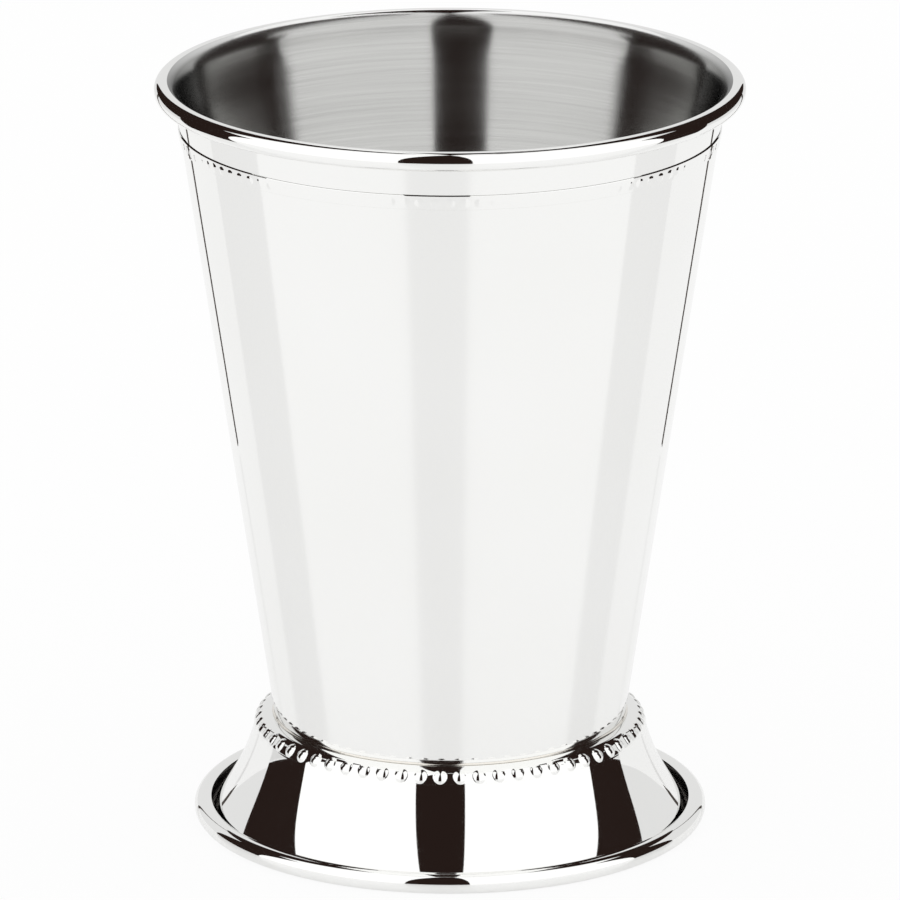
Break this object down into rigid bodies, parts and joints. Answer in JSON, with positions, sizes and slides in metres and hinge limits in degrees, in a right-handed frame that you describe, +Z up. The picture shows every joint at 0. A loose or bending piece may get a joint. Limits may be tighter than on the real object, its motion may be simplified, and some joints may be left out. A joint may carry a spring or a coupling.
{
  "type": "julep cup",
  "caption": "Tapered polished steel julep cup with a curled rim, a beaded band under it, a beaded collar and a flared hollow foot; it holds a cold drink and stands on a table.",
  "frame": {"origin": "centre of the circle that the foot stands on, at table height", "axes": "+Z up along the cup's axis, towards the mouth; -Y is the side that the picture shows"},
  "size_m": [0.09, 0.09, 0.1176],
  "materials": {
    "polished_steel": "mirror polished stainless steel outside, brushed round inside the bowl",
    "satin_steel": "satin stainless steel with turned rings",
    "braze_metal": "pale, slightly dull silver braze"
  },
  "bodies": {
    "root": {"bowl": "polished_steel", "rim_bead_band": "polished_steel", "bead_collar": "polished_steel", "foot": "polished_steel", "braze_seam": "braze_metal", "base_plate": "satin_steel"}
  },
  "joints": []
}
